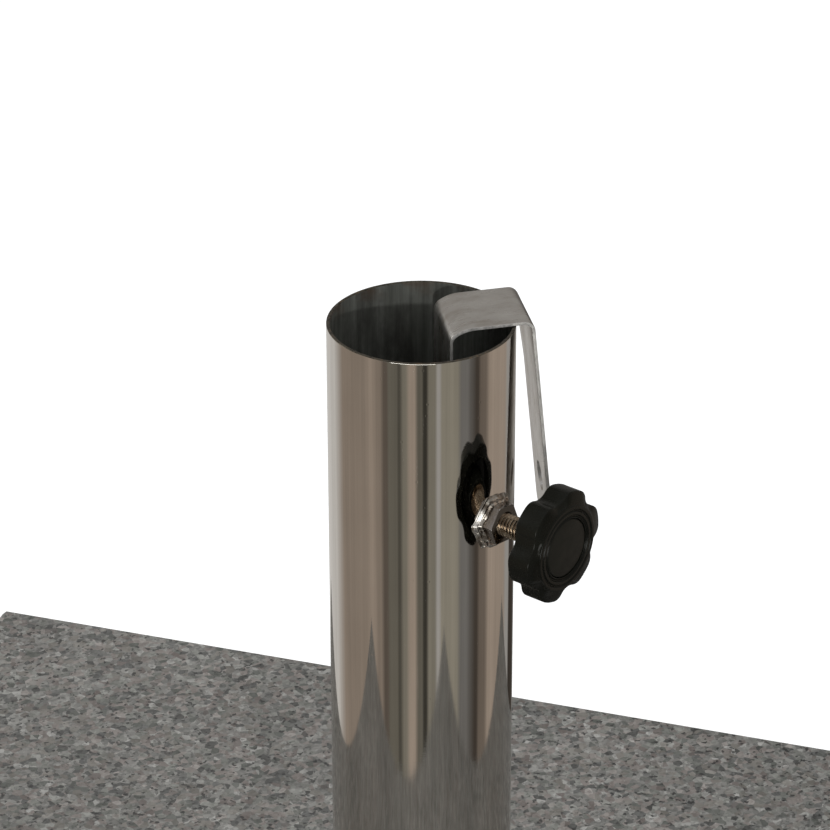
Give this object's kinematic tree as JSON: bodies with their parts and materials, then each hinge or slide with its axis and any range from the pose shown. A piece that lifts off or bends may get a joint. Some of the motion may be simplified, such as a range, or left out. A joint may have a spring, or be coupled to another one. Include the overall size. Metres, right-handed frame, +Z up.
{
  "type": "parasol base",
  "caption": "Granite slab parasol base with a polished steel pole tube, a star-knob clamp screw and a pressure clip over the rim.",
  "frame": {"origin": "on the ground under the middle of the granite slab, on the pole tube's axis", "axes": "+Z up along the pole tube's axis; X and Y along the slab's sides"},
  "size_m": [0.6, 0.6, 0.4304],
  "materials": {
    "granite": "honed grey granite with a two to three millimetre grain",
    "foot_rubber": "black rubber",
    "zinc_steel": "zinc-plated steel",
    "nylon": "grey nylon",
    "gasket_rubber": "black sheet rubber",
    "raw_steel": "brushed stainless plate",
    "weld_steel": "ground weld bead",
    "spring_steel": "dark spring steel",
    "polished_stainless": "mirror-polished stainless steel",
    "nut_steel": "bright stainless steel with light heat tint",
    "screw_steel": "threaded steel with a bronze tint",
    "pad_plastic": "black nylon",
    "knob_plastic": "black moulded plastic, slightly satin",
    "cap_plastic": "black moulded plastic, finely matt",
    "satin_stainless": "satin stainless strip, faintly brushed along its length"
  },
  "bodies": {
    "root": {"granite_slab": "granite", "slab_feet": "foot_rubber", "foot_screws": "zinc_steel", "foot_plugs": "nylon", "base_gasket": "gasket_rubber", "tube_flange": "raw_steel", "flange_weld": "weld_steel", "anchor_bolt": "zinc_steel", "anchor_washer": "zinc_steel", "anchor_spring_washer": "spring_steel", "anchor_nut": "zinc_steel", "cover_rosette": "polished_stainless", "upright_tube": "polished_stainless", "clamp_nut": "nut_steel", "clamp_nut_weld": "weld_steel"},
    "pad": {"screw_pad": "pad_plastic"},
    "knob": {"clamp_screw": "screw_steel", "knob_body": "knob_plastic", "knob_insert": "screw_steel", "knob_cap": "cap_plastic"},
    "clip": {"spring_clip": "satin_stainless"}
  },
  "joints": [
    {"name": "screw_travel", "type": "slide", "parent": "root", "child": "pad", "axis": [0.9336, -0.3584, 0], "range_m": [-0.0019, 0.0138]},
    {"name": "screw_turn", "type": "hinge", "parent": "pad", "child": "knob", "pos_m": [0.05135, -0.01971, 0.3642], "axis": [0.9336, -0.3584, 0], "range_deg": [-540, 3960]},
    {"name": "clip_lift", "type": "slide", "parent": "root", "child": "clip", "axis": [0, 0, 1], "range_m": [0, 0.09]}
  ],
  "couplings": [
    {"joint": "screw_travel", "follows": "screw_turn", "m_per_rad": 0.00019894}
  ]
}
